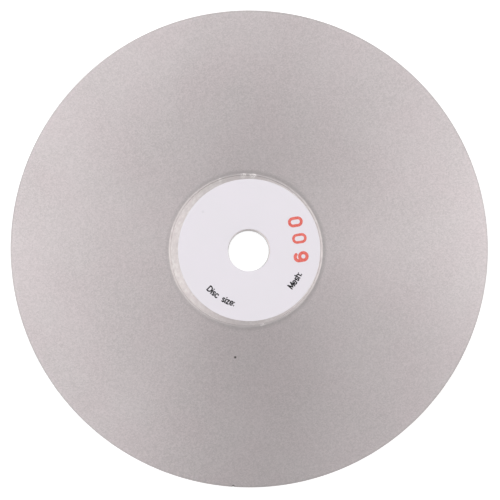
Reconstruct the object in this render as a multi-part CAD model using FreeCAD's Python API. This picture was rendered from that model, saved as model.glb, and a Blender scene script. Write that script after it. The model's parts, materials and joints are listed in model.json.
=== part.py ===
"""Electroplated diamond flat-lap disc, 150 mm across, for a 1/2 inch arbor.

Millimetres. The disc lies flat with its abrasive face up. +Z is the bore axis, and the origin is
the bore's centre on the back face. Every piece is a layer of the finished disc, built from the
steel core upwards, so each layer's height starts where the one below it ends.
"""
import FreeCAD, Part

import math
import os

from FreeCAD import Vector

# Steel core
DISC_D = 150.0
BORE_D = 12.7
CORE_THICKNESS = 1.0
EDGE_BREAK = 0.1

# Plating
UNDERCOAT_THICKNESS = 0.02
UNDERCOAT_SETBACK = 0.08
BOND_THICKNESS = 0.08
GRIT_THICKNESS = 0.04
RIM_PLATING = 0.10
RIM_PLATING_FOOT = 0.25
RIM_ROUND = 0.08

# The uncoated land round the bore, left by a mask that was laid on slightly off centre
LAND_D = 47.1
LAND_CENTRE = (-0.9, 0.2)
BEAD_WIDTH = 0.7
BEAD_HEIGHT = 0.05

# Paper label, also stuck on slightly off centre
LABEL_D = 44.7
LABEL_HOLE_D = 13.3
LABEL_CENTRE = (0.17, 0.33)
ADHESIVE_THICKNESS = 0.03
PAPER_THICKNESS = 0.09
INK_DEPTH = 0.01

# Printed captions: cap height, stroke and the radius of the baseline from the label's centre
CAPTION_CAP = 2.15
CAPTION_STROKE = 0.4
CAPTION_BASELINE_R = 18.2
CAPTION_GAP = 0.45
CAPTION_SPACE = 0.95
MESH_CAPTION_ANGLE = -33.4
SIZE_CAPTION_ANGLE = -121.2

# Stamped number: digit height, stroke, pitch, the middle of the line and its direction
STAMP_HEIGHT = 4.6
STAMP_STROKE = 0.85
STAMP_PITCH = 5.47
STAMP_CENTRE = (15.43, 3.5)
STAMP_ANGLE = 99.0
STAMP_WANDER = [(-0.15, -0.05), (0.15, -0.4), (0.0, 0.05)]

# Levels of the layers
UNDERCOAT_TOP = CORE_THICKNESS + UNDERCOAT_THICKNESS
BOND_TOP = UNDERCOAT_TOP + BOND_THICKNESS
GRIT_TOP = BOND_TOP + GRIT_THICKNESS
BEAD_TOP = GRIT_TOP + BEAD_HEIGHT
ADHESIVE_TOP = UNDERCOAT_TOP + ADHESIVE_THICKNESS
PAPER_TOP = ADHESIVE_TOP + PAPER_THICKNESS

# Radii that several layers share
RIM_R = DISC_D / 2
CORE_R = RIM_R - RIM_PLATING
BORE_R = BORE_D / 2
CORE_FLAT_R = CORE_R - EDGE_BREAK
LAND_R = LAND_D / 2
GRIT_OUTER_R = RIM_R - RIM_PLATING

# Monoline letters on a cap height of 1. A stroke is a list of points and arcs, joined in order.
# An arc is (centre x, centre y, radius, start angle, end angle). A dot is a stroke of one point.
LOWER_E = [
    [(0.0, 0.36), (0.52, 0.36)],
    [(0.52, 0.36), (0.26, 0.44, 0.26, 0, 180), (0.26, 0.26, 0.26, 180, 322)],
]
LOWER_S = [[(0.2, 0.525, 0.175, 35, 270), (0.2, 0.175, 0.175, 90, -145)]]
GLYPHS = {
    "M": (0.74, [[(0.0, 0.0), (0.0, 1.0), (0.37, 0.12), (0.74, 1.0), (0.74, 0.0)]]),
    "e": (0.52, LOWER_E),
    "s": (0.38, LOWER_S),
    "h": (0.46, [[(0.0, 0.0), (0.0, 1.0)], [(0.0, 0.4), (0.23, 0.47, 0.23, 180, 0), (0.46, 0.0)]]),
    ":": (0.0, [[(0.0, 0.02)], [(0.0, 0.62)]]),
    "D": (0.66, [[(0.0, 0.0), (0.0, 1.0)], [(0.0, 1.0), (0.16, 0.5, 0.5, 90, -90), (0.0, 0.0)]]),
    "i": (0.0, [[(0.0, 0.0), (0.0, 0.68)], [(0.0, 0.98)]]),
    "c": (0.46, [[(0.25, 0.45, 0.25, 35, 180), (0.25, 0.25, 0.25, 180, 325)]]),
    "z": (0.42, [[(0.0, 0.7), (0.42, 0.7), (0.0, 0.0), (0.42, 0.0)]]),
    "0": (0.62, [[(0.31, 0.69, 0.31, 0, 180), (0.31, 0.31, 0.31, 180, 360), (0.62, 0.69)]]),
    "6": (0.62, [
        [(0.31, 0.31, 0.31, 90, 450)],
        [(0.0, 0.31), (0.31, 0.69, 0.31, 180, 40)],
    ]),
}


def ring(outer_r, inner_r, bottom, top, centre=(0.0, 0.0)):
    """A flat ring between two levels, about its own centre."""
    base = Vector(centre[0], centre[1], bottom)
    outer = Part.makeCylinder(outer_r, top - bottom, base)
    inner = Part.makeCylinder(inner_r, top - bottom, base)
    return outer.cut(inner)


def turned(profile, centre=(0.0, 0.0)):
    """The solid that a closed (radius, height) outline makes when it is turned about an upright axis."""
    corners = [Vector(centre[0] + r, centre[1], z) for r, z in profile]
    face = Part.Face(Part.makePolygon(corners + corners[:1]))
    axis_point = Vector(centre[0], centre[1], 0)
    return face.revolve(axis_point, Vector(0, 0, 1), 360)


def steel_core():
    """The blank, with both mouths of the bore and both outer edges broken."""
    return turned([
        (BORE_R, EDGE_BREAK),
        (BORE_R + EDGE_BREAK, 0.0),
        (CORE_FLAT_R, 0.0),
        (CORE_R, EDGE_BREAK),
        (CORE_R, CORE_THICKNESS - EDGE_BREAK),
        (CORE_FLAT_R, CORE_THICKNESS),
        (BORE_R + EDGE_BREAK, CORE_THICKNESS),
        (BORE_R, CORE_THICKNESS - EDGE_BREAK),
    ])


def nickel_undercoat():
    """Strike plating over the flat of the front face, stopping just short of the bore's mouth."""
    return ring(CORE_FLAT_R, BORE_R + EDGE_BREAK + UNDERCOAT_SETBACK, CORE_THICKNESS, UNDERCOAT_TOP)


def nickel_bond():
    """The layer that holds the grit: it wraps the rim, and stands up in a bead where the mask ended."""
    blanket = turned([
        (0.0, UNDERCOAT_TOP),
        (CORE_FLAT_R, UNDERCOAT_TOP),
        (CORE_FLAT_R, CORE_THICKNESS),
        (CORE_R, CORE_THICKNESS - EDGE_BREAK),
        (CORE_R, RIM_PLATING_FOOT),
        (RIM_R, RIM_PLATING_FOOT),
        (RIM_R, BOND_TOP - RIM_ROUND),
        (RIM_R - RIM_ROUND, BOND_TOP),
        (0.0, BOND_TOP),
    ])
    mask = Part.makeCylinder(LAND_R, BEAD_TOP, Vector(LAND_CENTRE[0], LAND_CENTRE[1], 0))
    bead = turned([
        (LAND_R, UNDERCOAT_TOP),
        (LAND_R, GRIT_TOP),
        (LAND_R + BEAD_WIDTH * 0.2, BEAD_TOP),
        (LAND_R + BEAD_WIDTH * 0.5, BEAD_TOP),
        (LAND_R + BEAD_WIDTH, GRIT_TOP),
        (LAND_R + BEAD_WIDTH, UNDERCOAT_TOP),
    ], LAND_CENTRE)
    return blanket.cut(mask).fuse(bead).removeSplitter()


def diamond_grit():
    """The single layer of grains, from the bead to where the rim rounds off."""
    layer = Part.makeCylinder(GRIT_OUTER_R, GRIT_THICKNESS, Vector(0, 0, BOND_TOP))
    inside = Vector(LAND_CENTRE[0], LAND_CENTRE[1], 0)
    return layer.cut(Part.makeCylinder(LAND_R + BEAD_WIDTH, GRIT_TOP, inside))


def label_adhesive():
    return ring(LABEL_D / 2, LABEL_HOLE_D / 2, UNDERCOAT_TOP, ADHESIVE_TOP, LABEL_CENTRE)


def label_paper(inks):
    """The paper ring, less the ink that has soaked into its face."""
    paper = ring(LABEL_D / 2, LABEL_HOLE_D / 2, ADHESIVE_TOP, PAPER_TOP, LABEL_CENTRE)
    return paper.cut([mark for ink in inks for mark in ink.Solids])


def on_circle(centre, radius, degrees):
    """A point on a circle in the glyph's own plane."""
    turn = math.radians(degrees)
    return Vector(centre[0] + radius * math.cos(turn), centre[1] + radius * math.sin(turn), 0)


def bar(start, end, width):
    """A straight run of ink, square ended."""
    along = end.sub(start)
    slab = Part.makeBox(along.Length, width, INK_DEPTH, Vector(0, -width / 2, 0))
    slab.rotate(Vector(0, 0, 0), Vector(0, 0, 1), math.degrees(math.atan2(along.y, along.x)))
    slab.translate(start)
    return slab


def bend(centre, radius, start, end, width):
    """A round run of ink about a centre, between two angles in either order."""
    low, high = min(start, end), max(start, end)
    point = Vector(centre[0], centre[1], 0)
    outer = Part.makeCylinder(radius + width / 2, INK_DEPTH, point, Vector(0, 0, 1), high - low)
    inner = Part.makeCylinder(radius - width / 2, INK_DEPTH, point)
    sector = outer.cut(inner)
    sector.rotate(point, Vector(0, 0, 1), low)
    return sector


def dot(point, width):
    """A round spot of ink, which also rounds off the end of a run."""
    return Part.makeCylinder(width / 2, INK_DEPTH, point)


def stroke(items, scale, width):
    """One pen stroke: its points and arcs joined by straight runs."""
    pieces = []
    last = None
    for item in items:
        if len(item) == 2:
            start = end = Vector(item[0] * scale, item[1] * scale, 0)
        else:
            centre = (item[0] * scale, item[1] * scale)
            radius = item[2] * scale
            start = on_circle(centre, radius, item[3])
            end = on_circle(centre, radius, item[4])
            pieces.append(bend(centre, radius, item[3], item[4], width))
        if last is not None and last.distanceToPoint(start) > width / 100:
            pieces.append(bar(last, start, width))
        pieces.append(dot(start, width))
        pieces.append(dot(end, width))
        last = end
    return pieces


def glyph(character, cap, width):
    """A letter or digit. cap is its full height, and the middle of its first stroke starts near the origin."""
    strokes = GLYPHS[character][1]
    pieces = [piece for items in strokes for piece in stroke(items, cap - width, width)]
    return pieces[0].multiFuse(pieces[1:]).removeSplitter()


def advance(character, cap, width):
    """How far the pen moves on for a character, without the gap after it."""
    if character == " ":
        return CAPTION_SPACE
    return GLYPHS[character][0] * (cap - width)


def lay_down(solid, x, y, degrees):
    """Turn a glyph in its plane and set it into the label's face, flush with it."""
    solid.rotate(Vector(0, 0, 0), Vector(0, 0, 1), degrees)
    solid.translate(Vector(LABEL_CENTRE[0] + x, LABEL_CENTRE[1] + y, PAPER_TOP - INK_DEPTH))
    return solid


def caption(words, middle_angle):
    """Words along a circle about the label's centre, with their tops towards it."""
    widths = [advance(c, CAPTION_CAP, CAPTION_STROKE) for c in words]
    pen = -(sum(widths) + CAPTION_GAP * (len(words) - 1)) / 2
    letters = []
    for character, width in zip(words, widths):
        if character != " ":
            letter = glyph(character, CAPTION_CAP, CAPTION_STROKE)
            letter.translate(Vector(-width / 2, 0, 0))
            angle = middle_angle + math.degrees((pen + width / 2) / CAPTION_BASELINE_R)
            place = on_circle((0, 0), CAPTION_BASELINE_R, angle)
            letters.append(lay_down(letter, place.x, place.y, angle + 90))
        pen += width + CAPTION_GAP
    return Part.makeCompound(letters)


def number_stamp(digits):
    """Digits stamped one at a time along a straight line, so that they wander a little."""
    line = math.radians(STAMP_ANGLE)
    width = GLYPHS["0"][0] * (STAMP_HEIGHT - STAMP_STROKE)
    marks = []
    for index, character in enumerate(digits):
        along = (index - (len(digits) - 1) / 2) * STAMP_PITCH + STAMP_WANDER[index][0]
        up = STAMP_WANDER[index][1]
        x = STAMP_CENTRE[0] + along * math.cos(line) - up * math.sin(line)
        y = STAMP_CENTRE[1] + along * math.sin(line) + up * math.cos(line)
        mark = glyph(character, STAMP_HEIGHT, STAMP_STROKE)
        mark.translate(Vector(-width / 2, (STAMP_STROKE - STAMP_HEIGHT) / 2, 0))
        marks.append(lay_down(mark, x, y, STAMP_ANGLE))
    return Part.makeCompound(marks)


def main():
    number = number_stamp("600")
    mesh_words = caption("Mesh:", MESH_CAPTION_ANGLE)
    size_words = caption("Disc size:", SIZE_CAPTION_ANGLE)
    pieces = {
        "steel_core": steel_core(),
        "nickel_undercoat": nickel_undercoat(),
        "nickel_bond": nickel_bond(),
        "diamond_grit": diamond_grit(),
        "label_adhesive": label_adhesive(),
        "label_paper": label_paper([number, mesh_words, size_words]),
        "grit_number_stamp": number,
        "mesh_caption_print": mesh_words,
        "size_caption_print": size_words,
    }
    os.makedirs("parts", exist_ok=True)
    for name, shape in pieces.items():
        shape.exportStep("parts/" + name + ".step")
        print(name, len(shape.Solids), "solids", shape.isValid(), round(shape.Volume, 4), "mm3")


main()
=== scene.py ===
"""Looks of an electroplated diamond flat-lap disc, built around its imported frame.

Metres, in the frame's own axes: +Z is the bore axis, and the disc lies on its back with the
abrasive face up. Each layer of the disc is one piece, turned about an upright axis, and the ink
on the label is cut to shape from its pen strokes.
"""

import json
import math

import bmesh
import bpy
import numpy as np
from mathutils import Matrix, Vector, noise


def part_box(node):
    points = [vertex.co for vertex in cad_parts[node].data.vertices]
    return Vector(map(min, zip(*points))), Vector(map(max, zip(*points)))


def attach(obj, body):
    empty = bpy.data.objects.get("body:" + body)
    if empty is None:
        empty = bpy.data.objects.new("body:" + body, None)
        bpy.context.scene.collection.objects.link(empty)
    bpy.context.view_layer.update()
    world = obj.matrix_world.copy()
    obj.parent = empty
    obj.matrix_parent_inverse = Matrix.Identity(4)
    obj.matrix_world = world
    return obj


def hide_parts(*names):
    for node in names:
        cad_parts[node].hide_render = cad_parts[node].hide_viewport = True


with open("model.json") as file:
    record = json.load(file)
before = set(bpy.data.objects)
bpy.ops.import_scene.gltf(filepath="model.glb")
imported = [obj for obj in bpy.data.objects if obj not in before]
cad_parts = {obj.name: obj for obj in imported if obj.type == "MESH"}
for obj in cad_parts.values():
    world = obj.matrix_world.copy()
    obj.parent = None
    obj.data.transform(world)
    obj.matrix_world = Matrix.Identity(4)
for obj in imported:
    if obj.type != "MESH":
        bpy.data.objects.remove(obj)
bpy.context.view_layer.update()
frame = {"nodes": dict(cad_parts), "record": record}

MM = 0.001
NODES = frame["nodes"]
RECORD = frame["record"]

# Smoothness of turned pieces
SEGMENTS = 512
ARC_STEPS = 5
SHARP_ANGLE = 40

# Edges: how far the core's are broken, and how far each layer's are rounded
EDGE_BREAK = 0.1 * MM
CORE_EDGE_ROUND = 0.04 * MM
RIM_SHOULDER_ROUND = 0.08 * MM
RIM_FOOT_ROUND = 0.03 * MM
GRIT_SHOULDER_ROUND = 0.05 * MM
PAPER_EDGE_ROUND = 0.015 * MM

# Plating detail
BEAD_WIDTH = 0.70 * MM
BEAD_CREST = 0.3
BEAD_STEPS = 14
RIM_BUILD_UP = 0.012 * MM
RIM_BUILD_UP_WIDTH = 2.5 * MM
PLATING_WAVE = 0.004 * MM
PLATING_WAVE_LENGTH = 9.0 * MM
WAVE_START = Vector((3.1, 7.7, 0.4))
FACE_STATIONS = 44
GLUE_SETBACK = 0.12 * MM

# Small bare mark on the rim, where the plating rack's contact touched
RACK_MARK_ANGLE = -93.7
RACK_MARK_WIDTH = 0.9 * MM
RACK_MARK_DEPTH = 0.16 * MM
RACK_MARK_STEPS = 6
RACK_MARK_CLEARANCE = 1.2

# Ink
INK_STANDS = 0.006 * MM
INK_THICKNESS = 0.012 * MM
STAMP_CELL = 0.055 * MM
STAMP_CREEP = 0.035 * MM
CAPTION_CELL = 0.035 * MM
CAPTION_CREEP = 0.012 * MM
CREEP_CELLS = 5
PEN_STEP = 6

# Camera and stage
CAMERA_DISTANCE = 0.26
CAMERA_TILT = 2.04
CAMERA_TOWARDS = (0.32, 0.95)
VIEW_WIDTH = 157.1 * MM
SENSOR = 36.0
AIM = (0.47 * MM, 0.40 * MM)
FLOOR_SIZE = 40.0
FLOOR_DROP = 0.02 * MM
SOFT_BOX_DISTANCE = 0.75
SOFT_BOX_SIZE = 0.7
SOFT_BOX_ELEVATION = 50
SKY_BAND = 0.3
SKY_HORIZON = 0.58
SKY_BRIGHTEST = 0.77
SKY_OVERHEAD = 0.1
FLOOR_GLOW = 0.25
NEAR_CLIP = 0.01


# ---------------------------------------------------------------- what the frame says

def fitted_circle(points):
    """Centre and radius of the circle that flat points lie on."""
    table = np.column_stack([2 * points, np.ones(len(points))])
    answer = np.linalg.lstsq(table, (points ** 2).sum(1), rcond=None)[0]
    centre = answer[:2]
    return centre, math.sqrt(answer[2] + centre @ centre)


# Which of a ring's points are on its outline, on its hole's side, and on the hole's own edge
ON_OUTLINE = 0.9995
INNER_HALF = 0.5
ON_HOLE = 1.002


class Ring:
    """A ring-shaped node: its outer circle, its hole and its levels."""

    def __init__(self, node):
        low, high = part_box(node)
        self.bottom, self.top = low.z, high.z
        points = np.array([v.co[:2] for v in NODES[node].data.vertices])
        middle = np.array([(low.x + high.x) / 2, (low.y + high.y) / 2])
        away = np.linalg.norm(points - middle, axis=1)
        self.centre, self.outer = fitted_circle(points[away > ON_OUTLINE * away.max()])
        inside = points[away < INNER_HALF * away.max()]
        hole_middle = (inside.min(0) + inside.max(0)) / 2
        near = np.linalg.norm(inside - hole_middle, axis=1)
        self.hole_centre, self.hole = fitted_circle(inside[near < ON_HOLE * near.min()])


core = Ring("steel_core")
undercoat = Ring("nickel_undercoat")
bond = Ring("nickel_bond")
grit = Ring("diamond_grit")
glue = Ring("label_adhesive")
paper = Ring("label_paper")
BORE_R = RECORD["mounts"][0]["dims"]["r_mm"] * MM
LAND_CENTRE = bond.hole_centre
LAND_R = bond.hole
RIM_R = bond.outer
BORE_CENTRE = (0.0, 0.0)


# ---------------------------------------------------------------- turned pieces

def turn_angles():
    """Even steps round the disc, with finer ones where the rim is marked."""
    even = [360.0 * i / SEGMENTS for i in range(SEGMENTS)]
    spread = math.degrees(RACK_MARK_WIDTH / RIM_R)
    mark = RACK_MARK_ANGLE % 360
    steps = range(-RACK_MARK_STEPS, RACK_MARK_STEPS + 1)
    fine = [mark + spread * step / RACK_MARK_STEPS for step in steps]
    clear = [angle for angle in even if abs(angle - mark) > spread * RACK_MARK_CLEARANCE]
    return [math.radians(a) for a in sorted(clear + fine)]


ANGLES = turn_angles()


def eased(corners):
    """A closed outline of (radius, height, round) corners, with an arc at each round one."""
    outline = []
    count = len(corners)
    for i, (r, z, ease) in enumerate(corners):
        if ease == 0:
            outline.append((r, z))
            continue
        here = Vector((r, z))
        before = Vector(corners[i - 1][:2])
        after = Vector(corners[(i + 1) % count][:2])
        start = here + (before - here).normalized() * ease
        end = here + (after - here).normalized() * ease
        for step in range(ARC_STEPS + 1):
            t = step / ARC_STEPS
            spot = start * (1 - t) ** 2 + here * 2 * t * (1 - t) + end * t ** 2
            outline.append((spot.x, spot.y))
    return outline


def turned(name, outline, centres=None, reshape=None):
    """A closed ring: the outline of (radius, height) points carried round an upright axis.

    centres gives each point its own circle's centre, and reshape may move each finished point.
    """
    centres = centres or [BORE_CENTRE] * len(outline)
    mesh = bpy.data.meshes.new(name)
    shape = bmesh.new()
    loops = []
    for (r, z), centre in zip(outline, centres):
        loop = []
        for angle in ANGLES:
            x = centre[0] + r * math.cos(angle)
            y = centre[1] + r * math.sin(angle)
            point = Vector((x, y, z))
            loop.append(shape.verts.new(reshape(point) if reshape else point))
        loops.append(loop)
    turns = len(ANGLES)
    for i, loop in enumerate(loops):
        following = loops[(i + 1) % len(loops)]
        for j in range(turns):
            k = (j + 1) % turns
            shape.faces.new((loop[j], loop[k], following[k], following[j]))
    bmesh.ops.recalc_face_normals(shape, faces=shape.faces)
    shape.to_mesh(mesh)
    shape.free()
    for face in mesh.polygons:
        face.use_smooth = True
    mesh.set_sharp_from_angle(angle=math.radians(SHARP_ANGLE))
    piece = bpy.data.objects.new(name, mesh)
    bpy.context.scene.collection.objects.link(piece)
    return piece


def placed(piece, node, material):
    """The piece stands for its node, rides with the disc and wears its material."""
    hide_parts(node)
    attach(piece, "root")
    piece.data.materials.clear()
    piece.data.materials.append(material)
    return piece


def wave(point, length):
    """Smooth uneven height, from -1 to 1, over about one length."""
    return noise.noise(Vector((point.x, point.y, 0.0)) / length + WAVE_START)


def rack_mark(point):
    """Pinches a point of the rim inwards where the rack's contact touched."""
    radius = math.hypot(point.x, point.y)
    if radius < RIM_R - 2 * RACK_MARK_WIDTH:
        return point
    along = math.radians(RACK_MARK_ANGLE)
    off = abs(math.remainder(math.atan2(point.y, point.x) - along, math.tau)) * RIM_R
    pinch = RACK_MARK_DEPTH * max(0.0, 1 - (off / (RACK_MARK_WIDTH / 2)) ** 2)
    scale = (radius - pinch) / radius
    return Vector((point.x * scale, point.y * scale, point.z))


def steel_core():
    """The steel disc, with the sharp edges of its rim and its bore broken."""
    outline = eased([
        (BORE_R, EDGE_BREAK, CORE_EDGE_ROUND),
        (BORE_R + EDGE_BREAK, 0.0, CORE_EDGE_ROUND),
        (core.outer - EDGE_BREAK, 0.0, CORE_EDGE_ROUND),
        (core.outer, EDGE_BREAK, CORE_EDGE_ROUND),
        (core.outer, core.top - EDGE_BREAK, CORE_EDGE_ROUND),
        (core.outer - EDGE_BREAK, core.top, CORE_EDGE_ROUND),
        (BORE_R + EDGE_BREAK, core.top, CORE_EDGE_ROUND),
        (BORE_R, core.top - EDGE_BREAK, CORE_EDGE_ROUND),
    ])
    return turned("core_disc", outline)


def nickel_undercoat():
    """The thin strike plating, which shows as the smooth land round the label."""
    ease = (undercoat.top - undercoat.bottom) / 3
    outline = eased([
        (undercoat.hole, undercoat.bottom, 0),
        (undercoat.outer, undercoat.bottom, 0),
        (undercoat.outer, undercoat.top, ease),
        (undercoat.hole, undercoat.top, ease),
    ])
    return turned("land_plating", outline)


def bead_section():
    """The bead on the masked edge: a steep little face by the land, then a long fall to the grit."""
    rise = bond.top - undercoat.top
    section = []
    for step in range(BEAD_STEPS + 1):
        t = step / BEAD_STEPS
        climb = min(1.0, t / BEAD_CREST)
        height = rise * math.sin(math.pi / 2 * climb)
        if t > BEAD_CREST:
            fall = (t - BEAD_CREST) / (1 - BEAD_CREST)
            height = rise - (bond.top - grit.top) * (3 * fall ** 2 - 2 * fall ** 3)
        section.append((LAND_R + BEAD_WIDTH * t, undercoat.top + height))
    section.append((LAND_R + BEAD_WIDTH, grit.bottom))
    return section


def nickel_bond():
    """The plating that holds the grit, from the bead by the land to the skirt round the rim."""
    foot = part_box("nickel_bond")[0].z
    inner = bead_section()
    outer = eased([
        (RIM_R, grit.bottom, RIM_SHOULDER_ROUND),
        (RIM_R, foot, RIM_FOOT_ROUND),
        (core.outer, foot, 0),
        (core.outer, core.top - EDGE_BREAK, 0),
        (core.outer - EDGE_BREAK, core.top, 0),
        (core.outer - EDGE_BREAK, undercoat.top, 0),
    ])
    centres = [tuple(LAND_CENTRE)] * len(inner) + [BORE_CENTRE] * len(outer)
    return turned("bond_plating", inner + outer, centres, rack_mark)


def diamond_grit():
    """The abrasive skin. Its rings of points slide from the land's off-centre circle to the rim's."""
    inner_r, outer_r = grit.hole, grit.outer
    outline = [(inner_r, grit.bottom)]
    centres = [tuple(LAND_CENTRE)]
    for step in range(FACE_STATIONS + 1):
        t = step / FACE_STATIONS
        share = (1 - t) ** 2
        centre = (LAND_CENTRE[0] * share, LAND_CENTRE[1] * share)
        radius = inner_r + (outer_r - GRIT_SHOULDER_ROUND - inner_r) * t
        from_rim = (outer_r - radius) / RIM_BUILD_UP_WIDTH
        build_up = RIM_BUILD_UP * max(0.0, 1 - from_rim) ** 2
        outline.append((radius, grit.top + build_up))
        centres.append(centre)
    for step in range(1, ARC_STEPS + 1):
        turn = math.pi / 2 * step / ARC_STEPS
        radius = outer_r - GRIT_SHOULDER_ROUND * (1 - math.sin(turn))
        height = grit.top + RIM_BUILD_UP - (grit.top - grit.bottom) * (1 - math.cos(turn))
        outline.append((radius, height))
        centres.append(BORE_CENTRE)
    outline.append((outer_r, grit.bottom))
    centres.append(BORE_CENTRE)

    def uneven(point):
        if point.z >= grit.top:
            point.z += PLATING_WAVE * wave(point, PLATING_WAVE_LENGTH)
        return rack_mark(point)

    return turned("grit_face", outline, centres, uneven)


def ring_film(name, ring, setback, ease):
    """A flat ring with eased upper edges, a little inside its node's outline."""
    outline = eased([
        (ring.hole + setback, ring.bottom, 0),
        (ring.outer - setback, ring.bottom, 0),
        (ring.outer - setback, ring.top, ease),
        (ring.hole + setback, ring.top, ease),
    ])
    return turned(name, outline, [tuple(ring.centre)] * len(outline))


# ---------------------------------------------------------------- ink

# Monoline letters on a cap height of 1. A stroke is a list of points and arcs, joined in order.
# An arc is (centre x, centre y, radius, start angle, end angle). A dot is a stroke of one point.
GLYPHS = {
    "M": (0.74, [[(0.0, 0.0), (0.0, 1.0), (0.37, 0.12), (0.74, 1.0), (0.74, 0.0)]]),
    "e": (0.52, [
        [(0.0, 0.36), (0.52, 0.36)],
        [(0.52, 0.36), (0.26, 0.44, 0.26, 0, 180), (0.26, 0.26, 0.26, 180, 322)],
    ]),
    "s": (0.38, [[(0.2, 0.525, 0.175, 35, 270), (0.2, 0.175, 0.175, 90, -145)]]),
    "h": (0.46, [[(0.0, 0.0), (0.0, 1.0)], [(0.0, 0.4), (0.23, 0.47, 0.23, 180, 0), (0.46, 0.0)]]),
    ":": (0.0, [[(0.0, 0.02)], [(0.0, 0.62)]]),
    "D": (0.66, [[(0.0, 0.0), (0.0, 1.0)], [(0.0, 1.0), (0.16, 0.5, 0.5, 90, -90), (0.0, 0.0)]]),
    "i": (0.0, [[(0.0, 0.0), (0.0, 0.68)], [(0.0, 0.98)]]),
    "c": (0.46, [[(0.25, 0.45, 0.25, 35, 180), (0.25, 0.25, 0.25, 180, 325)]]),
    "z": (0.42, [[(0.0, 0.7), (0.42, 0.7), (0.0, 0.0), (0.42, 0.0)]]),
    "0": (0.62, [[(0.31, 0.69, 0.31, 0, 180), (0.31, 0.31, 0.31, 180, 360), (0.62, 0.69)]]),
    "6": (0.62, [
        [(0.31, 0.31, 0.31, 90, 450)],
        [(0.0, 0.31), (0.31, 0.69, 0.31, 180, 40)],
    ]),
}

CAPTION_CAP = 2.15 * MM
CAPTION_STROKE = 0.4 * MM
CAPTION_BASELINE_R = 18.2 * MM
CAPTION_GAP = 0.45 * MM
CAPTION_SPACE = 0.95 * MM
MESH_CAPTION_ANGLE = -33.4
SIZE_CAPTION_ANGLE = -121.2
STAMP_HEIGHT = 4.6 * MM
STAMP_STROKE = 0.85 * MM
STAMP_PITCH = 5.47 * MM
STAMP_CENTRE = (15.43 * MM, 3.5 * MM)
STAMP_ANGLE = 99.0
STAMP_SWELL = [0.08 * MM, -0.01 * MM, 0.03 * MM]
STAMP_WANDER = [(-0.15 * MM, -0.05 * MM), (0.15 * MM, -0.4 * MM), (0.0, 0.05 * MM)]


def pen_line(items, scale):
    """A stroke as a fine run of points along the middle of the pen."""
    points = []
    for item in items:
        if len(item) == 2:
            points.append((item[0] * scale, item[1] * scale))
            continue
        x, y, radius, start, end = item
        steps = max(2, int(abs(end - start) / PEN_STEP))
        for step in range(steps + 1):
            turn = math.radians(start + (end - start) * step / steps)
            spot = (x + radius * math.cos(turn), y + radius * math.sin(turn))
            points.append((spot[0] * scale, spot[1] * scale))
    return np.array(points)


# Keeps a pen step of no length from dividing by zero
NO_LENGTH = 1e-18


def distance_to_pen(spots, items, scale):
    """How far each flat spot is from the middle of a stroke."""
    line = pen_line(items, scale)
    if len(line) == 1:
        return np.linalg.norm(spots - line[0], axis=1)
    nearest = np.full(len(spots), np.inf)
    for start, end in zip(line[:-1], line[1:]):
        along = end - start
        share = np.clip((spots - start) @ along / (along @ along + NO_LENGTH), 0, 1)
        gap = np.linalg.norm(spots - start - share[:, None] * along, axis=1)
        nearest = np.minimum(nearest, gap)
    return nearest


def uneven_edge(spots, cell):
    """How far the ink has crept at each spot, from -1 to 1."""
    return np.array([noise.noise(Vector((x, y, 0.0)) / (cell * CREEP_CELLS)) for x, y in spots])


def inked_grid(character, cap, width, cell, creep, swell=0.0):
    """A grid over one glyph, with how deep each of its points lies inside the ink."""
    scale = cap - width
    advance, strokes = GLYPHS[character]
    margin = width
    xs = np.arange(-margin, advance * scale + margin, cell)
    ys = np.arange(-margin, scale + margin, cell)
    spots = np.array([(x, y) for y in ys for x in xs])
    gap = np.min([distance_to_pen(spots, items, scale) for items in strokes], axis=0)
    inside = width / 2 + swell - gap + creep * uneven_edge(spots, cell)
    return spots, inside, len(xs), len(ys)


def add_film(shape, depth_layer, grid, place, level):
    """Adds the part of a glyph's grid that lies inside the ink, cut along the ink's edge."""
    spots, inside, columns, rows = grid
    verts = {}

    def corner(i):
        if i not in verts:
            verts[i] = shape.verts.new(place(spots[i], level))
            verts[i][depth_layer] = inside[i]
        return verts[i]

    def crossing(i, j):
        key = (min(i, j), max(i, j))
        if key not in verts:
            i, j = key
            share = inside[i] / (inside[i] - inside[j])
            spot = spots[i] + (spots[j] - spots[i]) * share
            verts[key] = shape.verts.new(place(spot, level))
            verts[key][depth_layer] = 0.0
        return verts[key]

    for row in range(rows - 1):
        for column in range(columns - 1):
            a = row * columns + column
            square = (a, a + 1, a + 1 + columns, a + columns)
            if all(inside[i] > 0 for i in square):
                shape.faces.new([corner(i) for i in square])
                continue
            if all(inside[i] <= 0 for i in square):
                continue
            for triangle in ((square[0], square[1], square[2]), (square[0], square[2], square[3])):
                outline = []
                for i, j in zip(triangle, triangle[1:] + triangle[:1]):
                    if inside[i] > 0:
                        outline.append(corner(i))
                    if (inside[i] > 0) != (inside[j] > 0):
                        outline.append(crossing(i, j))
                if len(outline) > 2:
                    shape.faces.new(outline)


def ink_piece(name, marks, level):
    """One piece of ink from several glyphs. A mark is a grid and a function that lays it down."""
    shape = bmesh.new()
    depth_layer = shape.verts.layers.float.new("ink_depth")
    for grid, place in marks:
        add_film(shape, depth_layer, grid, place, level)
    top = shape.faces[:]
    lower = bmesh.ops.extrude_face_region(shape, geom=top)
    sunk = [v for v in lower["geom"] if isinstance(v, bmesh.types.BMVert)]
    for vert in sunk:
        vert.co.z -= INK_THICKNESS
    bmesh.ops.recalc_face_normals(shape, faces=shape.faces)
    mesh = bpy.data.meshes.new(name)
    shape.to_mesh(mesh)
    shape.free()
    piece = bpy.data.objects.new(name, mesh)
    bpy.context.scene.collection.objects.link(piece)
    return piece


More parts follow.
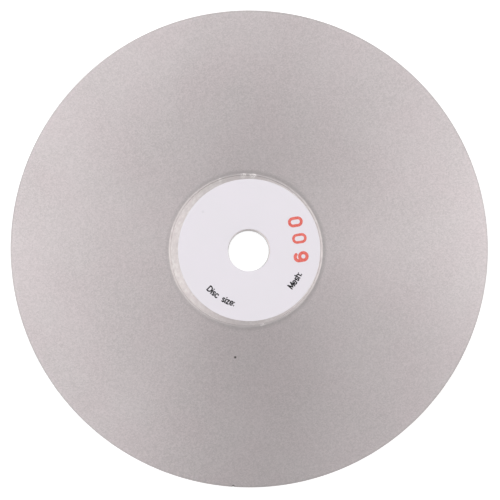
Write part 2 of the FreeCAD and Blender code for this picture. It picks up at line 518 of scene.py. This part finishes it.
def laid(origin, degrees, shift):
    """A function that turns a glyph's flat spot by an angle and moves it onto the label."""
    turn = math.radians(degrees)
    cosine, sine = math.cos(turn), math.sin(turn)

    def place(spot, level):
        x, y = spot[0] + shift[0], spot[1] + shift[1]
        return Vector((
            paper.centre[0] + origin[0] + x * cosine - y * sine,
            paper.centre[1] + origin[1] + x * sine + y * cosine,
            level,
        ))

    return place


def caption(name, words, middle_angle):
    """Words along a circle about the label's centre, with their tops towards it."""
    scale = CAPTION_CAP - CAPTION_STROKE
    widths = [CAPTION_SPACE if c == " " else GLYPHS[c][0] * scale for c in words]
    pen = -(sum(widths) + CAPTION_GAP * (len(words) - 1)) / 2
    marks = []
    for character, width in zip(words, widths):
        if character != " ":
            degrees = middle_angle + math.degrees((pen + width / 2) / CAPTION_BASELINE_R)
            turn = math.radians(degrees)
            origin = (CAPTION_BASELINE_R * math.cos(turn), CAPTION_BASELINE_R * math.sin(turn))
            grid = inked_grid(character, CAPTION_CAP, CAPTION_STROKE, CAPTION_CELL, CAPTION_CREEP)
            marks.append((grid, laid(origin, degrees + 90, (-width / 2, 0.0))))
        pen += width + CAPTION_GAP
    return ink_piece(name, marks, paper.top + INK_STANDS)


def number_stamp(name, digits):
    """Digits stamped one at a time along a straight line, so that they wander a little."""
    line = math.radians(STAMP_ANGLE)
    width = GLYPHS["0"][0] * (STAMP_HEIGHT - STAMP_STROKE)
    marks = []
    for index, character in enumerate(digits):
        along = (index - (len(digits) - 1) / 2) * STAMP_PITCH + STAMP_WANDER[index][0]
        up = STAMP_WANDER[index][1]
        x = STAMP_CENTRE[0] + along * math.cos(line) - up * math.sin(line)
        y = STAMP_CENTRE[1] + along * math.sin(line) + up * math.cos(line)
        swell = STAMP_SWELL[index]
        grid = inked_grid(character, STAMP_HEIGHT, STAMP_STROKE, STAMP_CELL, STAMP_CREEP, swell)
        shift = (-width / 2, (STAMP_STROKE - STAMP_HEIGHT) / 2)
        marks.append((grid, laid((x, y), STAMP_ANGLE, shift)))
    return ink_piece(name, marks, paper.top + INK_STANDS)


# ---------------------------------------------------------------- node groups

def new_group(name, inputs, outputs):
    """An empty shader node group with named number or colour sockets."""
    group = bpy.data.node_groups.new(name, "ShaderNodeTree")
    for label, kind, value in inputs:
        socket = group.interface.new_socket(label, in_out="INPUT", socket_type=kind)
        socket.default_value = value
    for label, kind in outputs:
        group.interface.new_socket(label, in_out="OUTPUT", socket_type=kind)
    start = group.nodes.new("NodeGroupInput")
    end = group.nodes.new("NodeGroupOutput")
    return group, start, end


# A Mix node's share and its colour sockets, by position: its number sockets have the same names
MIX_SHARE = 0
MIX_COLOURS = (6, 7)
MIX_RESULT = 2


class Wiring:
    """Short calls for adding and joining nodes in one tree."""

    def __init__(self, tree):
        self.tree = tree

    def add(self, kind, **settings):
        """A new shader node of this kind, with these settings."""
        node = self.tree.nodes.new("ShaderNode" + kind)
        for name, value in settings.items():
            setattr(node, name, value)
        return node

    def join(self, source, target):
        self.tree.links.new(source, target)

    def feed(self, socket, value):
        """Joins a socket to the input, or gives the input a plain value."""
        if isinstance(value, bpy.types.NodeSocket):
            self.join(value, socket)
        else:
            socket.default_value = value

    def maths(self, operation, a, b=0.0, c=None):
        node = self.add("Math", operation=operation)
        self.feed(node.inputs[0], a)
        self.feed(node.inputs[1], b)
        if c is not None:
            self.feed(node.inputs[2], c)
        return node.outputs[0]

    def place_mm(self):
        """The piece's own coordinates, in millimetres."""
        place = self.add("TexCoord").outputs["Object"]
        scaled = self.add("VectorMath", operation="SCALE")
        self.join(place, scaled.inputs[0])
        scaled.inputs["Scale"].default_value = 1 / MM
        return scaled.outputs[0]

    def speckle(self, place, size, detail=2.0, roughness=0.5, distortion=0.0):
        """Noise from 0 to 1, with features of about this size."""
        node = self.add("TexNoise", noise_dimensions="3D")
        self.join(place, node.inputs["Vector"])
        self.feed(node.inputs["Scale"], self.maths("DIVIDE", 1.0, size))
        node.inputs["Detail"].default_value = detail
        node.inputs["Roughness"].default_value = roughness
        node.inputs["Distortion"].default_value = distortion
        return node.outputs["Fac"]

    def between(self, share, low, high):
        """Low where the share is 0, and high where it is 1."""
        return self.maths("MULTIPLY_ADD", share, high - low, low)

    def ramp(self, value, low, high):
        """0 below low, 1 above high, and smooth between."""
        node = self.add("MapRange", interpolation_type="SMOOTHSTEP")
        self.feed(node.inputs["Value"], value)
        self.feed(node.inputs["From Min"], low)
        self.feed(node.inputs["From Max"], high)
        return node.outputs["Result"]

    def mix(self, share, a, b):
        """Colour a where the share is 0, and colour b where it is 1."""
        node = self.add("Mix", data_type="RGBA")
        self.feed(node.inputs[MIX_SHARE], share)
        self.feed(node.inputs[MIX_COLOURS[0]], a)
        self.feed(node.inputs[MIX_COLOURS[1]], b)
        return node.outputs[MIX_RESULT]


def grain_group():
    """Fine grains: a mask of light and dark grains, clumps of them, and their height."""
    group, start, end = new_group("fine_grain", [
        ("Grain mm", "NodeSocketFloat", 0.2),
        ("Clump mm", "NodeSocketFloat", 0.6),
    ], [("Grain", "NodeSocketFloat"), ("Clumps", "NodeSocketFloat"), ("Height", "NodeSocketFloat")])
    w = Wiring(group)
    place = w.place_mm()
    cells = w.add("TexVoronoi", feature="F1")
    w.join(place, cells.inputs["Vector"])
    w.join(w.maths("DIVIDE", 1.0, start.outputs["Grain mm"]), cells.inputs["Scale"])
    sorted_grain = w.add("SeparateColor")
    w.join(cells.outputs["Color"], sorted_grain.inputs[0])
    clumps = w.speckle(place, start.outputs["Clump mm"], detail=3.0, roughness=0.6)
    w.join(sorted_grain.outputs[0], end.inputs["Grain"])
    w.join(clumps, end.inputs["Clumps"])
    dome = w.maths("SUBTRACT", 1.0, cells.outputs["Distance"])
    w.join(w.maths("MULTIPLY", dome, w.maths("ADD", sorted_grain.outputs[1], 0.4)), end.inputs["Height"])
    return group


def cloud_group():
    """Broad soft variation, such as uneven plating or handling."""
    group, start, end = new_group("broad_clouds", [
        ("Size mm", "NodeSocketFloat", 20.0),
        ("Shift", "NodeSocketFloat", 0.0),
    ], [("Cloud", "NodeSocketFloat")])
    w = Wiring(group)
    moved = w.add("VectorMath", operation="ADD")
    w.join(w.place_mm(), moved.inputs[0])
    offset = w.add("CombineXYZ")
    for axis in range(3):
        w.join(start.outputs["Shift"], offset.inputs[axis])
    w.join(offset.outputs[0], moved.inputs[1])
    cloud = w.speckle(moved.outputs[0], start.outputs["Size mm"], detail=2.0, roughness=0.45)
    w.join(w.ramp(cloud, 0.3, 0.7), end.inputs["Cloud"])
    return group


def lines_group():
    """Fine lines round the bore axis, as a rotary grinder or a linishing belt leaves them."""
    group, start, end = new_group("round_lines", [
        ("Pitch mm", "NodeSocketFloat", 0.3),
        ("Broken up", "NodeSocketFloat", 2.0),
    ], [("Lines", "NodeSocketFloat")])
    w = Wiring(group)
    place = w.add("SeparateXYZ")
    w.join(w.place_mm(), place.inputs[0])
    across = w.maths("MULTIPLY", place.outputs[0], place.outputs[0])
    radius = w.maths("SQRT", w.maths("MULTIPLY_ADD", place.outputs[1], place.outputs[1], across))
    angle = w.maths("ARCTAN2", place.outputs[1], place.outputs[0])
    spread = w.add("CombineXYZ")
    w.join(w.maths("DIVIDE", radius, start.outputs["Pitch mm"]), spread.inputs[0])
    w.join(w.maths("MULTIPLY", w.maths("SINE", angle), start.outputs["Broken up"]), spread.inputs[1])
    w.join(w.maths("MULTIPLY", w.maths("COSINE", angle), start.outputs["Broken up"]), spread.inputs[2])
    lines = w.add("TexNoise")
    w.join(spread.outputs[0], lines.inputs["Vector"])
    lines.inputs["Scale"].default_value = 1.0
    lines.inputs["Detail"].default_value = 3.0
    w.join(lines.outputs["Fac"], end.inputs["Lines"])
    return group


def spot_group():
    """A soft round spot at a given place, 1 in its middle."""
    group, start, end = new_group("small_spot", [
        ("X mm", "NodeSocketFloat", 0.0),
        ("Y mm", "NodeSocketFloat", 0.0),
        ("Radius mm", "NodeSocketFloat", 0.4),
    ], [("Spot", "NodeSocketFloat")])
    w = Wiring(group)
    place = w.add("SeparateXYZ")
    w.join(w.place_mm(), place.inputs[0])
    x = w.maths("SUBTRACT", place.outputs[0], start.outputs["X mm"])
    y = w.maths("SUBTRACT", place.outputs[1], start.outputs["Y mm"])
    away = w.maths("SQRT", w.maths("MULTIPLY_ADD", x, x, w.maths("MULTIPLY", y, y)))
    share = w.maths("DIVIDE", away, start.outputs["Radius mm"])
    w.join(w.maths("SUBTRACT", 1.0, w.ramp(share, 0.35, 1.0)), end.inputs["Spot"])
    return group


def ring_group():
    """How far outside a circle a place is, in millimetres."""
    group, start, end = new_group("out_from_circle", [
        ("X mm", "NodeSocketFloat", 0.0),
        ("Y mm", "NodeSocketFloat", 0.0),
        ("Radius mm", "NodeSocketFloat", 10.0),
    ], [("Outside mm", "NodeSocketFloat"), ("Angle", "NodeSocketFloat")])
    w = Wiring(group)
    place = w.add("SeparateXYZ")
    w.join(w.place_mm(), place.inputs[0])
    x = w.maths("SUBTRACT", place.outputs[0], start.outputs["X mm"])
    y = w.maths("SUBTRACT", place.outputs[1], start.outputs["Y mm"])
    away = w.maths("SQRT", w.maths("MULTIPLY_ADD", x, x, w.maths("MULTIPLY", y, y)))
    w.join(w.maths("SUBTRACT", away, start.outputs["Radius mm"]), end.inputs["Outside mm"])
    w.join(w.maths("ARCTAN2", y, x), end.inputs["Angle"])
    return group


GRAIN = grain_group()
CLOUD = cloud_group()
LINES = lines_group()
SPOT = spot_group()
RING = ring_group()


# ---------------------------------------------------------------- materials

# Turns a brushed highlight from along the brushing to across it
QUARTER_TURN = 0.25


class Finish(Wiring):
    """A material with one Principled shader, ready for its own nodes."""

    def __init__(self, name):
        self.material = bpy.data.materials.new(name)
        self.material.use_nodes = True
        super().__init__(self.material.node_tree)
        self.shader = self.tree.nodes["Principled BSDF"]

    def use(self, group, **values):
        node = self.add("Group", node_tree=group)
        for name, value in values.items():
            self.feed(node.inputs[name.replace("_", " ")], value)
        return node

    def set(self, **values):
        for name, value in values.items():
            self.feed(self.shader.inputs[name.replace("_", " ")], value)

    def cloud(self, size_mm, shift):
        """Broad soft patches of about this size. Each shift gives other patches."""
        return self.use(CLOUD, Size_mm=size_mm, Shift=shift).outputs["Cloud"]

    def lines(self, pitch_mm, broken_up):
        """Fine lines round the bore axis. A larger broken_up gives shorter ones."""
        return self.use(LINES, Pitch_mm=pitch_mm, Broken_up=broken_up).outputs["Lines"]

    def spot(self, x, y, radius):
        """A soft round spot, placed in millimetres."""
        return self.use(SPOT, X_mm=x, Y_mm=y, Radius_mm=radius).outputs["Spot"]

    def circle(self, centre, radius):
        """How far outside a circle each place is, in millimetres, and its angle round the circle."""
        node = self.use(RING, X_mm=centre[0] / MM, Y_mm=centre[1] / MM, Radius_mm=radius / MM)
        return node.outputs["Outside mm"], node.outputs["Angle"]

    def over(self, colour, mask, strength, other):
        """The colour, with another laid over it at this strength where the mask is 1."""
        return self.mix(self.maths("MULTIPLY", mask, strength), colour, other)

    def bump(self, height, depth_mm, before=None):
        node = self.add("Bump")
        node.inputs["Strength"].default_value = 1.0
        node.inputs["Distance"].default_value = depth_mm * MM
        self.join(height, node.inputs["Height"])
        if before is not None:
            self.join(before, node.inputs["Normal"])
        return node.outputs[0]

    def brushed_round(self, strength):
        """Stretches the shader's highlights outwards from the bore, as round brushing does."""
        self.set(Anisotropic=strength, Anisotropic_Rotation=QUARTER_TURN)
        tangent = self.add("Tangent", direction_type="RADIAL", axis="Z")
        self.join(tangent.outputs[0], self.shader.inputs["Tangent"])


# The abrasive: bright facets and dark gaps, each leaning a little to pink or to grey
FACET_PINK = (0.677, 0.61, 0.618, 1)
FACET_GREY = (0.673, 0.617, 0.622, 1)
GAP_PINK = (0.482, 0.434, 0.441, 1)
GAP_GREY = (0.479, 0.44, 0.444, 1)
FACE_PALE = (0.72, 0.66, 0.67, 1)

# Small dark pits in the face: x, y and radius in millimetres, and strength
PITS = [
    (-4.2, -33.5, 0.55, 0.95),
    (-41.2, 21.6, 0.9, 0.10),
    (-59.0, -29.8, 0.6, 0.12),
    (-4.82, -74.6, 0.6, 0.75),
]
PIT_COLOUR = (0.06, 0.05, 0.05, 1)

# Dark nickel where the plating ends, and painted shade. By the land a band of burnt plating fades out
# between two distances outside the bead, in millimetres, and painted shade makes it strongest towards
# one side, in degrees. By the rim painted shade sets in between two distances outside the rim, which
# are negative because they lie inside it.
DARK_NICKEL_AND_PAINTED_SHADE = (0.36, 0.34, 0.34, 1)
BURNT_AND_SHADED_AT_LAND = (0.35, 1.5)
PAINTED_SHADE_MOST_TOWARDS = 25.0
BURNT_MEAN = 0.34
PAINTED_SHADE_SWING = 0.15
PAINTED_SHADE_AT_RIM = (-0.6, -0.1)
PAINTED_RIM_SHADE_STRENGTH = 0.35

# Shares of a grain's darkness
COARSE_SHARE = 0.55
FINE_SHARE = 0.25
CLUMP_SHARE = 0.2


def grain_shade(f, fine, coarse):
    """How dark each grain is: coarse grains most, then fine ones, then clumps."""
    shade = f.maths("MULTIPLY", coarse.outputs["Grain"], COARSE_SHARE)
    shade = f.maths("MULTIPLY_ADD", fine.outputs["Grain"], FINE_SHARE, shade)
    return f.maths("MULTIPLY_ADD", fine.outputs["Clumps"], CLUMP_SHARE, shade)


def burnt_and_shaded_edges(f, colour):
    """The face's colour, darker just outside the bead and at the last of the rim: burnt plating and
    painted shade by the bead, painted shade at the rim.
    """
    outside, angle = f.circle(LAND_CENTRE, grit.hole)
    near = f.maths("SUBTRACT", 1.0, f.ramp(outside, *BURNT_AND_SHADED_AT_LAND))
    # Painted shade: the band by the bead is darkest towards one side
    side = f.maths("COSINE", f.maths("SUBTRACT", angle, math.radians(PAINTED_SHADE_MOST_TOWARDS)))
    burnt_and_shade = f.maths("MULTIPLY", near, f.maths("MULTIPLY_ADD", side, PAINTED_SHADE_SWING, BURNT_MEAN))
    colour = f.mix(burnt_and_shade, colour, DARK_NICKEL_AND_PAINTED_SHADE)
    # Painted shade on the last half millimetre of the rim
    outside_rim = f.circle(BORE_CENTRE, grit.outer)[0]
    return f.over(colour, f.ramp(outside_rim, *PAINTED_SHADE_AT_RIM), PAINTED_RIM_SHADE_STRENGTH, DARK_NICKEL_AND_PAINTED_SHADE)


def diamond_finish():
    """Matt grey diamond in nickel: even fine grain, darker where the plating ends, partly with painted
    shade.
    """
    f = Finish("abrasive_face")
    fine = f.use(GRAIN, Grain_mm=0.14, Clump_mm=0.55)
    coarse = f.use(GRAIN, Grain_mm=0.34, Clump_mm=1.6)
    tint = f.cloud(15.0, 31.0)
    facets = f.mix(tint, FACET_PINK, FACET_GREY)
    gaps = f.mix(tint, GAP_PINK, GAP_GREY)
    colour = f.mix(grain_shade(f, fine, coarse), facets, gaps)
    colour = f.over(colour, f.cloud(26.0, 4.0), 0.15, FACE_PALE)
    # Burnt plating by the bead, with painted shade there and at the rim
    colour = burnt_and_shaded_edges(f, colour)
    for x, y, radius, strength in PITS:
        colour = f.over(colour, f.spot(x, y, radius), strength, PIT_COLOUR)
    rough = f.between(fine.outputs["Clumps"], 0.30, 0.40)
    normal = f.bump(fine.outputs["Height"], 0.010)
    normal = f.bump(coarse.outputs["Clumps"], 0.006, normal)
    f.set(Base_Color=colour, Metallic=0.85, Roughness=rough, Normal=normal)
    f.brushed_round(0.6)
    return f.material


# The land's nickel, its mottling and the pale streaks that the peeled mask leaves
LAND_WARM = (0.87, 0.783, 0.78, 1)
LAND_COOL = (0.84, 0.775, 0.765, 1)
LAND_MOTTLE = (0.60, 0.545, 0.54, 1)
LAND_STREAK = (0.93, 0.87, 0.86, 1)
LAND_FROST = (0.93, 0.88, 0.87, 1)
# Painted shade for the patch on the land's left side
LAND_PAINTED_SHADE = (0.42, 0.375, 0.37, 1)

# A patch of painted shade on the land's left side, where the left soft boxes' highlight falls: x, y and
# radius in millimetres, and strength
LAND_SHADE_PATCH = (-24.2, 0.2, 10.0, 0.2)

# Whitish speckled patches on the land and the bead: x, y and radius in millimetres, and strength
FROST = [(-1.6, 24.0, 1.3, 0.7), (1.4, 23.9, 1.6, 0.8), (-8.9, 22.4, 0.9, 0.4), (4.6, -23.3, 1.2, 0.5)]
FROST_WHITE = (0.95, 0.91, 0.90, 1)
# Painted shade for the land and the bead, darker towards the front and back of the disc
NICKEL_PAINTED_SHADE = (0.40, 0.37, 0.375, 1)


def frosted(f, colour):
    """The colour with whitish speckled patches on it."""
    speckle = f.ramp(f.speckle(f.place_mm(), 0.35, detail=3.0, roughness=0.7), 0.38, 0.6)
    for x, y, radius, strength in FROST:
        patch = f.maths("MULTIPLY", f.spot(x, y, radius), speckle)
        colour = f.over(colour, patch, strength, FROST_WHITE)
    return colour


def painted_front_back_shade(f, colour, mean, swing):
    """The colour with painted shade: darker towards the front and back of the disc than at its sides."""
    angle = f.circle(LAND_CENTRE, 0.0)[1]
    sides = f.maths("COSINE", f.maths("MULTIPLY", angle, 2.0))
    return f.mix(f.maths("MULTIPLY_ADD", sides, -swing, mean), colour, NICKEL_PAINTED_SHADE)


def land_finish():
    """Smooth warm nickel of the masked land, streaked and mottled where the mask was peeled off, with
    painted shade towards the front and back of the disc and on its left side.
    """
    f = Finish("masked_land")
    streaks = f.lines(0.25, 9.0)
    frost = f.lines(0.9, 14.0)
    mottle = f.cloud(1.3, 9.0)
    colour = f.mix(f.cloud(9.0, 2.0), LAND_WARM, LAND_COOL)
    colour = f.over(colour, mottle, 0.4, LAND_MOTTLE)
    colour = f.over(colour, f.ramp(streaks, 0.45, 0.75), 0.3, LAND_STREAK)
    colour = f.over(colour, f.ramp(frost, 0.5, 0.66), 0.6, LAND_FROST)
    # Painted shade: darker towards the front and back of the disc than at its sides
    colour = painted_front_back_shade(f, colour, 0.25, 0.21)
    # Painted shade on the land's left side, damping the soft boxes' highlight there
    x, y, radius, strength = LAND_SHADE_PATCH
    colour = f.over(colour, f.spot(x, y, radius), strength, LAND_PAINTED_SHADE)
    colour = frosted(f, colour)
    rough = f.maths("MULTIPLY_ADD", mottle, 0.10, f.between(frost, 0.31, 0.45))
    normal = f.bump(streaks, 0.004)
    normal = f.bump(frost, 0.008, normal)
    f.set(Base_Color=colour, Metallic=0.75, Roughness=rough, Normal=normal)
    f.brushed_round(0.75)
    return f.material


# The bead's nickel and the rim's
BEAD_BRIGHT = (0.70, 0.635, 0.63, 1)
BEAD_DARK = (0.52, 0.47, 0.465, 1)
BEAD_PALE = (0.82, 0.765, 0.755, 1)
RIM_BRIGHT = (0.56, 0.51, 0.515, 1)
RIM_DARK = (0.43, 0.39, 0.395, 1)

# Where the bead's bright nickel gives way to the rim's grey, in millimetres outside the land
BEAD_TO_RIM = (4.0, 6.0)

# The rack's mark: the radius of its stain in millimetres, and its colour
RACK_MARK_SPOT = 0.8
RACK_MARK_COLOUR = (0.07, 0.055, 0.05, 1)


def bond_finish():
    """Nickel that holds the grit: bright on the bead by the land, matt grey at the rim, with painted
    shade on the bead towards the front and back.
    """
    f = Finish("plated_edge")
    grain = f.use(GRAIN, Grain_mm=0.16, Clump_mm=0.5)
    bead = f.mix(grain.outputs["Clumps"], BEAD_BRIGHT, BEAD_DARK)
    bead = f.over(bead, f.cloud(2.5, 12.0), 0.4, BEAD_PALE)
    # Painted shade: darker towards the front and back of the disc than at its sides
    bead = painted_front_back_shade(f, bead, 0.45, 0.38)
    bead = frosted(f, bead)
    rim = f.mix(grain.outputs["Grain"], RIM_BRIGHT, RIM_DARK)
    outside_land = f.circle(BORE_CENTRE, LAND_R)[0]
    colour = f.mix(f.ramp(outside_land, *BEAD_TO_RIM), bead, rim)
    turn = math.radians(RACK_MARK_ANGLE)
    mark = f.spot(RIM_R / MM * math.cos(turn), RIM_R / MM * math.sin(turn), RACK_MARK_SPOT)
    colour = f.over(colour, mark, 0.85, RACK_MARK_COLOUR)
    rough = f.between(grain.outputs["Grain"], 0.42, 0.54)
    normal = f.bump(grain.outputs["Height"], 0.006)
    f.set(Base_Color=colour, Metallic=0.65, Roughness=rough, Normal=normal)
    f.brushed_round(0.4)
    return f.material


# The core's steel: between its lines, on them, on a wider line, and under oil
STEEL_GROUND = (0.50, 0.50, 0.505, 1)
STEEL_LINE = (0.64, 0.635, 0.63, 1)
STEEL_WIDE_LINE = (0.74, 0.735, 0.73, 1)
STEEL_OILY = (0.47, 0.455, 0.43, 1)


def core_finish():
    """Linished steel: fine round lines, a few wider bright ones and a thin film of old oil."""
    f = Finish("linished_steel")
    fine = f.lines(0.12, 3.0)
    wide = f.lines(1.1, 1.2)
    oil = f.cloud(17.0, 21.0)
    colour = f.mix(fine, STEEL_GROUND, STEEL_LINE)
    colour = f.over(colour, f.ramp(wide, 0.5, 0.7), 0.3, STEEL_WIDE_LINE)
    colour = f.over(colour, oil, 0.25, STEEL_OILY)
    rough = f.maths("MULTIPLY_ADD", fine, 0.18, f.between(oil, 0.27, 0.19))
    f.set(Base_Color=colour, Metallic=1.0, Roughness=rough, Normal=f.bump(fine, 0.004))
    f.brushed_round(0.6)
    return f.material


# The label's paper, its fibres and the painted highlight on its cut edge
PAPER_LIGHT = (0.716, 0.679, 0.728, 1)
PAPER_DARK = (0.709, 0.677, 0.721, 1)
PAPER_FIBRE = (0.70, 0.66, 0.70, 1)
PAPER_EDGE_HIGHLIGHT = (0.77, 0.74, 0.78, 1)

# A faint thumb mark on the label: x, y and radius in millimetres, and strength
SMUDGE = (-14.3, 12.4, 0.6, 0.16)
SMUDGE_GREY = (0.35, 0.34, 0.36, 1)

# Where the painted highlight on the paper's cut edge sets in, in millimetres outside the label's outline
PAPER_HIGHLIGHT_BAND = (-0.3, -0.05)


def paper_finish():
    """Smooth coated label paper, very slightly fibrous, with a painted highlight along its cut edge."""
    f = Finish("coated_paper")
    fibre = f.speckle(f.place_mm(), 0.30, detail=4.0, roughness=0.65, distortion=0.6)
    colour = f.mix(f.cloud(8.0, 5.0), PAPER_LIGHT, PAPER_DARK)
    colour = f.over(colour, fibre, 0.06, PAPER_FIBRE)
    # Painted highlight along the paper's cut edge
    outside = f.circle(paper.centre, paper.outer)[0]
    colour = f.over(colour, f.ramp(outside, *PAPER_HIGHLIGHT_BAND), 0.6, PAPER_EDGE_HIGHLIGHT)
    x, y, radius, strength = SMUDGE
    colour = f.over(colour, f.spot(x, y, radius), strength, SMUDGE_GREY)
    rough = f.between(fibre, 0.48, 0.63)
    f.set(Base_Color=colour, Roughness=rough, Normal=f.bump(fibre, 0.004))
    return f.material


GLUE_PALE = (0.66, 0.63, 0.57, 1)
GLUE_DARK = (0.58, 0.55, 0.50, 1)


def glue_finish():
    """Clear acrylic adhesive, which shows only as a faint line under the label's edge."""
    f = Finish("clear_glue")
    cloud = f.cloud(2.0, 1.0)
    colour = f.mix(cloud, GLUE_PALE, GLUE_DARK)
    f.set(Base_Color=colour, Roughness=f.between(cloud, 0.25, 0.45))
    return f.material


# How far in from a stroke's edge the squeezed ink lies thicker
SQUEEZED_INK = 0.14 * MM

# Each ink where it lies thin and where it lies thick
BLACK_THIN = (0.014, 0.014, 0.016, 1)
BLACK_THICK = (0.006, 0.006, 0.007, 1)
RED_THIN = (0.78, 0.185, 0.155, 1)
RED_THICK = (0.61, 0.105, 0.085, 1)


def ink_finish(name, thin, thick, patch_mm, patchiness):
    """Printing ink, thicker at the edge of each stroke, and patchy where the paper took less."""
    f = Finish(name)
    depth = f.add("Attribute", attribute_name="ink_depth").outputs["Fac"]
    squeezed = f.maths("SUBTRACT", 1.0, f.ramp(depth, 0.0, SQUEEZED_INK))
    speckle = f.speckle(f.place_mm(), patch_mm, detail=4.0, roughness=0.6)
    patches = f.ramp(speckle, 0.5 - patchiness, 0.5 + patchiness)
    cover = f.maths("ADD", f.maths("MULTIPLY", squeezed, 0.5), patches)
    rough = f.between(speckle, 0.45, 0.75)
    f.set(Base_Color=f.mix(cover, thin, thick), Roughness=rough, Specular_IOR_Level=0.2)
    return f.material


def black_print():
    """Black label print: nearly even."""
    return ink_finish("black_print", BLACK_THIN, BLACK_THICK, 0.25, 0.2)


def red_stamp():
    """Coral red stamp ink: uneven."""
    return ink_finish("red_stamp", RED_THIN, RED_THICK, 0.5, 0.2)


# ---------------------------------------------------------------- stage

FLOOR_WHITE = (0.96, 0.96, 0.96, 1)
FLOOR_OFF_WHITE = (0.95, 0.95, 0.95, 1)
LAMP_WHITE = (1.0, 1.0, 1.0, 1)


def stage():
    """A pale seamless floor."""
    half = FLOOR_SIZE / 2
    mesh = bpy.data.meshes.new("floor")
    level = -FLOOR_DROP
    sides = [(-half, -half), (half, -half), (half, half), (-half, half)]
    mesh.from_pydata([(x, y, level) for x, y in sides], [], [(0, 1, 2, 3)])
    floor = bpy.data.objects.new("floor", mesh)
    bpy.context.scene.collection.objects.link(floor)
    f = Finish("floor_paper")
    tone = f.cloud(400.0, 3.0)
    f.set(Base_Color=f.mix(tone, FLOOR_WHITE, FLOOR_OFF_WHITE), Roughness=0.9)
    f.set(Emission_Color=LAMP_WHITE, Emission_Strength=FLOOR_GLOW)
    mesh.materials.append(f.material)


def soft_light(name, azimuth, power):
    """A square soft box, aimed at the middle of the disc."""
    turn = math.radians(azimuth)
    rise = math.radians(SOFT_BOX_ELEVATION)
    lamp = bpy.data.lights.new(name, "AREA")
    lamp.shape = "SQUARE"
    lamp.size = SOFT_BOX_SIZE
    lamp.energy = power
    box = bpy.data.objects.new(name, lamp)
    level = math.cos(rise)
    towards = Vector((math.cos(turn) * level, math.sin(turn) * level, math.sin(rise)))
    box.location = towards * SOFT_BOX_DISTANCE
    box.rotation_euler = (-towards).to_track_quat("-Z", "Y").to_euler()
    bpy.context.scene.collection.objects.link(box)


def sky():
    """An even studio tent, brightest a third of the way up and dimmer overhead."""
    world = bpy.data.worlds.new("studio")
    world.use_nodes = True
    w = Wiring(world.node_tree)
    background = world.node_tree.nodes["Background"]
    background.inputs["Color"].default_value = LAMP_WHITE
    direction = w.add("SeparateXYZ")
    w.join(w.add("TexCoord").outputs["Generated"], direction.inputs[0])
    height = w.maths("MAXIMUM", direction.outputs[2], 0.0)
    rising = w.add("MapRange")
    w.join(height, rising.inputs["Value"])
    rising.inputs["From Max"].default_value = SKY_BAND
    rising.inputs["To Min"].default_value = SKY_HORIZON
    rising.inputs["To Max"].default_value = SKY_BRIGHTEST
    falling = w.add("MapRange")
    w.join(height, falling.inputs["Value"])
    falling.inputs["From Min"].default_value = SKY_BAND
    falling.inputs["To Min"].default_value = 0.0
    falling.inputs["To Max"].default_value = SKY_BRIGHTEST - SKY_OVERHEAD
    w.join(w.maths("SUBTRACT", rising.outputs[0], falling.outputs[0]), background.inputs["Strength"])
    bpy.context.scene.world = world


# The soft boxes: where each stands, in degrees round the disc from +X, and its power in watts
SOFT_BOXES = [
    ("soft_box_right", 30, 1.78),
    ("soft_box_back", 120, 1.45),
    ("soft_box_left", 150, 0.62),
    ("soft_box_low_left", 210, 1.66),
    ("soft_box_low_right", 330, 1.17),
]


def lights():
    """The studio tent, and soft boxes on both sides with the widest gap in front."""
    sky()
    for name, azimuth, power in SOFT_BOXES:
        soft_light(name, azimuth, power)


def camera():
    """Straight down on the abrasive face, a hair towards its upper right."""
    lens = bpy.data.cameras.new("camera")
    lens.sensor_width = SENSOR
    lens.lens = SENSOR * CAMERA_DISTANCE / VIEW_WIDTH
    lens.clip_start = NEAR_CLIP
    viewer = bpy.data.objects.new("camera", lens)
    target = Vector((AIM[0], AIM[1], grit.top))
    tilt = math.radians(CAMERA_TILT)
    towards = Vector((CAMERA_TOWARDS[0], CAMERA_TOWARDS[1], 0)).normalized()
    back = towards * math.sin(tilt) + Vector((0, 0, 1)) * math.cos(tilt)
    right = Vector((0, 1, 0)).cross(back).normalized()
    up = back.cross(right)
    turn = Matrix((right, up, back)).transposed()
    viewer.matrix_world = Matrix.Translation(target + back * CAMERA_DISTANCE) @ turn.to_4x4()
    bpy.context.scene.collection.objects.link(viewer)
    bpy.context.scene.camera = viewer


# ---------------------------------------------------------------- assembly

def disc():
    """Every layer of the disc from the core up, then the label and its ink."""
    placed(steel_core(), "steel_core", core_finish())
    placed(nickel_undercoat(), "nickel_undercoat", land_finish())
    placed(nickel_bond(), "nickel_bond", bond_finish())
    placed(diamond_grit(), "diamond_grit", diamond_finish())
    glue_film = ring_film("label_glue", glue, GLUE_SETBACK, 0)
    placed(glue_film, "label_adhesive", glue_finish())
    paper_ring = ring_film("label_ring", paper, 0.0, PAPER_EDGE_ROUND)
    placed(paper_ring, "label_paper", paper_finish())
    placed(number_stamp("stamped_number", "600"), "grit_number_stamp", red_stamp())
    black = black_print()
    mesh_words = caption("mesh_caption", "Mesh:", MESH_CAPTION_ANGLE)
    placed(mesh_words, "mesh_caption_print", black)
    size_words = caption("size_caption", "Disc size:", SIZE_CAPTION_ANGLE)
    placed(size_words, "size_caption_print", black)


disc()
stage()
lights()
camera()
bpy.context.scene.view_settings.view_transform = "Standard"
